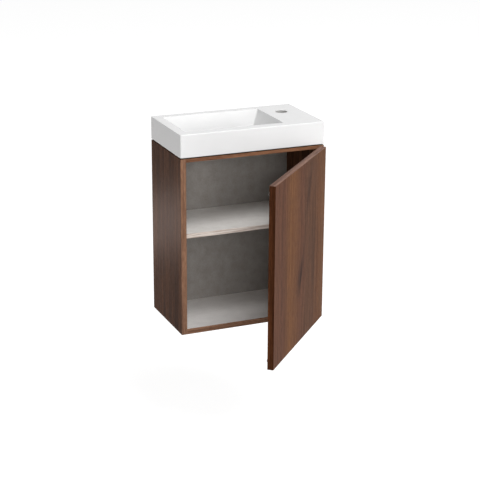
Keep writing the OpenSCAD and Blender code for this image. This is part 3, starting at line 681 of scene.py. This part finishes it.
buffer_r, buffer_h, buffer_round = 0.004, 0.0027, 0.0021
buffer_inset, buffer_side = 0.022, 0.0075
domes = []
for z in (door_high - buffer_inset, door_low + buffer_inset):
    dome = bmesh.new()
    bmesh.ops.create_cone(dome, cap_ends=True, segments=40, radius1=buffer_r, radius2=buffer_r,
                          depth=buffer_h)
    ease(dome, edges_where(dome, lambda place: place.z > 0), buffer_round, 6)
    bmesh.ops.rotate(dome, cent=(0, 0, 0), matrix=Matrix.Rotation(-math.pi / 2, 3, "X"), verts=dome.verts)
    seat = (-cabinet_half + buffer_side, door_back + buffer_h / 2, z)
    bmesh.ops.translate(dome, vec=seat, verts=dome.verts)
    bmesh.ops.rotate(dome, cent=pin, matrix=open_turn, verts=dome.verts)
    domes.append(dome)
make_piece("buffer_domes", domes, clear_soft("clear_soft_plastic"), "door", "door_buffers")


# Hinges
# Two concealed hinges of nickel-plated steel. Each cup is sunk in the door; the arm's hook turns on a
# pin in it, and the arm is clamped on a plate that is screwed to the right side.

pressings = ("upper_hinge_cup", "lower_hinge_cup", "upper_hinge_arm", "lower_hinge_arm",
             "upper_mounting_plate", "lower_mounting_plate")
dress(nickel, *pressings)
soften(0.0003, *pressings)
small_screws = ("cup_screws", "plate_screws", "fixing_screws", "adjusting_screws")
dress(bright_zinc, "hinge_pins", *small_screws)
soften(0.00012, *small_screws)
dress(plated("spring_steel", srgb(128, 131, 134), 0.34), "closing_springs")


# Floor, light and camera
# A pale studio floor under the hanging unit and even white surroundings. Large soft lamps stand in front
# of it and high over it, a small warm one low behind its left, and the camera is at the photograph's place.

def seen_directly(add):
    """1 for what the camera, a reflection or a clear piece sees of the surroundings, otherwise 0."""
    rays = add("ShaderNodeLightPath").outputs
    seen = reckon(add, "MAXIMUM", rays["Is Camera Ray"], rays["Is Glossy Ray"])
    return reckon(add, "MAXIMUM", seen, rays["Is Transmission Ray"])


def pale_floor(name, tone, glow):
    """A pale matt floor, lifted to white only where it is seen directly."""
    material, shader, tree, add = start_material(name, 0.9, Specular_IOR_Level=0.0)
    shader.inputs["Base Color"].default_value = grey(tone)
    lift = reckon(add, "MULTIPLY", seen_directly(add), glow)
    shine = add("ShaderNodeEmission", {"Color": (1, 1, 1, 1), "Strength": lift})
    both = add("ShaderNodeAddShader", {0: shader.outputs["BSDF"], 1: shine.outputs["Emission"]})
    tree.links.new(both.outputs["Shader"], tree.nodes["Material Output"].inputs["Surface"])
    return material


def white_surroundings(name, strength):
    """Surroundings that are pure white where they are seen directly, and weaker as a light."""
    world = bpy.data.worlds.new(name)
    world.use_nodes = True
    tree = world.node_tree
    add = adder(tree)
    power = add("ShaderNodeMapRange", {"Value": seen_directly(add), "To Min": strength, "To Max": 1.0})
    tree.links.new(power.outputs["Result"], tree.nodes["Background"].inputs["Strength"])
    tree.nodes["Background"].inputs["Color"].default_value = (1, 1, 1, 1)
    return world


rim_above_floor, floor_reach = 0.85, 30.0
floor_mesh = bmesh.new()
bmesh.ops.create_grid(floor_mesh, x_segments=1, y_segments=1, size=floor_reach)
bmesh.ops.translate(floor_mesh, vec=(0, 0, basin_high.z - rim_above_floor), verts=floor_mesh.verts)
mesh = bpy.data.meshes.new("studio_floor")
floor_mesh.to_mesh(mesh)
floor_mesh.free()
studio_floor = bpy.data.objects.new("studio_floor", mesh)
bpy.context.scene.collection.objects.link(studio_floor)
mesh.materials.append(pale_floor("pale_floor", tone=0.5, glow=0.78))
bpy.context.scene.world = white_surroundings("studio", strength=0.30)
unit_middle = Vector((0.0, -0.15, -0.15))


def soft_lamp(name, azimuth, elevation, distance, size, light, colour=(1.0, 1.0, 1.0)):
    """A square soft lamp that faces the unit, so strong that a white card facing it gains that light."""
    lamp = bpy.data.lights.new(name, "AREA")
    lamp.shape, lamp.size, lamp.color = "SQUARE", size, colour
    lamp.energy = light * (math.pi * distance) ** 2
    holder = bpy.data.objects.new(name, lamp)
    bpy.context.scene.collection.objects.link(holder)
    holder.visible_camera = False
    azimuth, elevation = math.radians(azimuth), math.radians(elevation)
    towards = Vector((math.sin(azimuth) * math.cos(elevation), -math.cos(azimuth) * math.cos(elevation),
                      math.sin(elevation)))
    holder.location = unit_middle + distance * towards
    holder.rotation_euler = (-towards).to_track_quat("-Z", "Y").to_euler()


soft_lamp("front_left_lamp", azimuth=-12, elevation=12, distance=7.0, size=3.5, light=0.40)
soft_lamp("high_lamp", azimuth=22, elevation=60, distance=7.0, size=3.5, light=0.62)
soft_lamp("right_lamp", azimuth=28, elevation=6, distance=7.0, size=3.5, light=0.12)
soft_lamp("low_back_lamp", azimuth=-154, elevation=-18, distance=1.73, size=0.3, light=0.095,
          colour=(1.0, 0.80, 0.72))

yaw, pitch, roll = math.radians(22.84), math.radians(18.51), math.radians(-0.29)
forward = Vector((math.sin(yaw) * math.cos(pitch), math.cos(yaw) * math.cos(pitch), -math.sin(pitch)))
right = Vector((math.cos(yaw), -math.sin(yaw), 0.0))
down = forward.cross(right)
tilted_right = right * math.cos(roll) + down * math.sin(roll)
tilted_down = down * math.cos(roll) - right * math.sin(roll)
camera_data = bpy.data.cameras.new("photo_camera")
camera_data.lens, camera_data.sensor_width, camera_data.sensor_fit = 105.15, 36.0, "HORIZONTAL"
camera = bpy.data.objects.new("photo_camera", camera_data)
bpy.context.scene.collection.objects.link(camera)
camera.rotation_euler = Matrix((tilted_right, -tilted_down, -forward)).transposed().to_euler()
camera.location = (-1.3813, -3.4123, 0.9711)
bpy.context.scene.camera = camera
bpy.context.scene.view_settings.view_transform = "Standard"
